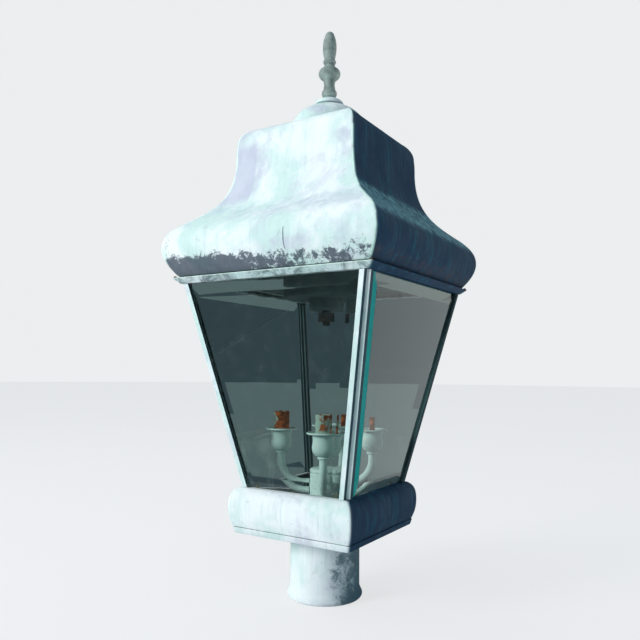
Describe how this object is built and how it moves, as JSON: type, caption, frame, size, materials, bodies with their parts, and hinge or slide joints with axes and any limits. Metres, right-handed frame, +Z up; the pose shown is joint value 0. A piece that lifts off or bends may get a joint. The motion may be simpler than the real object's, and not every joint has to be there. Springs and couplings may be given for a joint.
{
  "type": "post lantern",
  "caption": "Square post lantern in weathered copper: round post fitter, leaning bevelled panes, candle cluster, and a lift-off ogee roof with a turned finial.",
  "frame": {"origin": "centre of the post fitter's bottom edge, on the lantern's axis", "axes": "+Z up along the axis of the post; -Y is the outward normal of the front glass face and +X of the right one"},
  "size_m": [0.278, 0.278, 0.681],
  "materials": {
    "fitter_patina": "matte pale verdigris, mottled darker",
    "base_patina": "matte pale verdigris",
    "roof_patina": "matte pale verdigris with dark weathering along the bulge",
    "cap_patina": "matte pale verdigris",
    "frame_patina": "verdigris over dark copper",
    "rim_patina": "verdigris over dark copper",
    "glass": "clear bevelled plate",
    "inner_copper": "dark tarnished copper",
    "candle_patina": "matte verdigris with rust stains",
    "rusty_steel": "flaking orange rust",
    "finial_bronze": "dark aged bronze",
    "fastener_metal": "aged brass"
  },
  "bodies": {
    "lantern": {"post_fitter": "fitter_patina", "bottom_pan": "base_patina", "skirt_front": "base_patina", "skirt_right": "base_patina", "skirt_back": "base_patina", "skirt_left": "base_patina", "tray": "inner_copper", "tray_screw_1": "fastener_metal", "tray_screw_2": "fastener_metal", "tray_screw_3": "fastener_metal", "tray_screw_4": "fastener_metal", "corner_post_front_right": "frame_patina", "corner_post_back_right": "frame_patina", "corner_post_back_left": "frame_patina", "corner_post_front_left": "frame_patina", "glass_pane_front": "glass", "glass_pane_right": "glass", "glass_pane_back": "glass", "glass_pane_left": "glass", "top_rim": "rim_patina", "rim_screw_front_right": "fastener_metal", "rim_screw_back_right": "fastener_metal", "rim_screw_back_left": "fastener_metal", "rim_screw_front_left": "fastener_metal", "candle_hub": "candle_patina", "hub_nipple": "fastener_metal", "hub_locknut": "fastener_metal", "arm_1": "candle_patina", "cup_1": "candle_patina", "bobeche_1": "candle_patina", "socket_post_1": "rusty_steel", "arm_2": "candle_patina", "cup_2": "candle_patina", "bobeche_2": "candle_patina", "socket_post_2": "rusty_steel", "arm_3": "candle_patina", "cup_3": "candle_patina", "bobeche_3": "candle_patina", "socket_post_3": "rusty_steel", "arm_4": "candle_patina", "cup_4": "candle_patina", "bobeche_4": "candle_patina", "socket_post_4": "rusty_steel", "socket_sleeve_1": "rusty_steel", "socket_sleeve_2": "rusty_steel"},
    "set_screw_1": {"set_screw_1": "fastener_metal"},
    "set_screw_2": {"set_screw_2": "fastener_metal"},
    "roof": {"roof_panel_front": "roof_patina", "roof_panel_right": "roof_patina", "roof_panel_back": "roof_patina", "roof_panel_left": "roof_patina", "ceiling_plate": "inner_copper", "ceiling_dish": "inner_copper", "threaded_rod": "fastener_metal", "rod_nut": "fastener_metal", "dome_cap_lower": "cap_patina", "dome_cap_upper": "cap_patina"},
    "finial": {"finial_base": "finial_bronze", "finial_flange": "finial_bronze", "finial_spire": "finial_bronze"}
  },
  "joints": [
    {"name": "roof_lift", "type": "slide", "parent": "lantern", "child": "roof", "axis": [0, 0, 1], "range_m": [0, 0.3]},
    {"name": "finial_turn", "type": "hinge", "parent": "roof", "child": "finial", "pos_m": [0, 0, 0.6], "axis": [0, 0, 1], "continuous": true},
    {"name": "set_screw_1_travel", "type": "slide", "parent": "lantern", "child": "set_screw_1", "axis": [0.2588, 0.9659, 0], "range_m": [-0.0035, 0.006]},
    {"name": "set_screw_2_travel", "type": "slide", "parent": "lantern", "child": "set_screw_2", "axis": [-0.9659, 0.2588, 0], "range_m": [-0.0035, 0.006]}
  ]
}
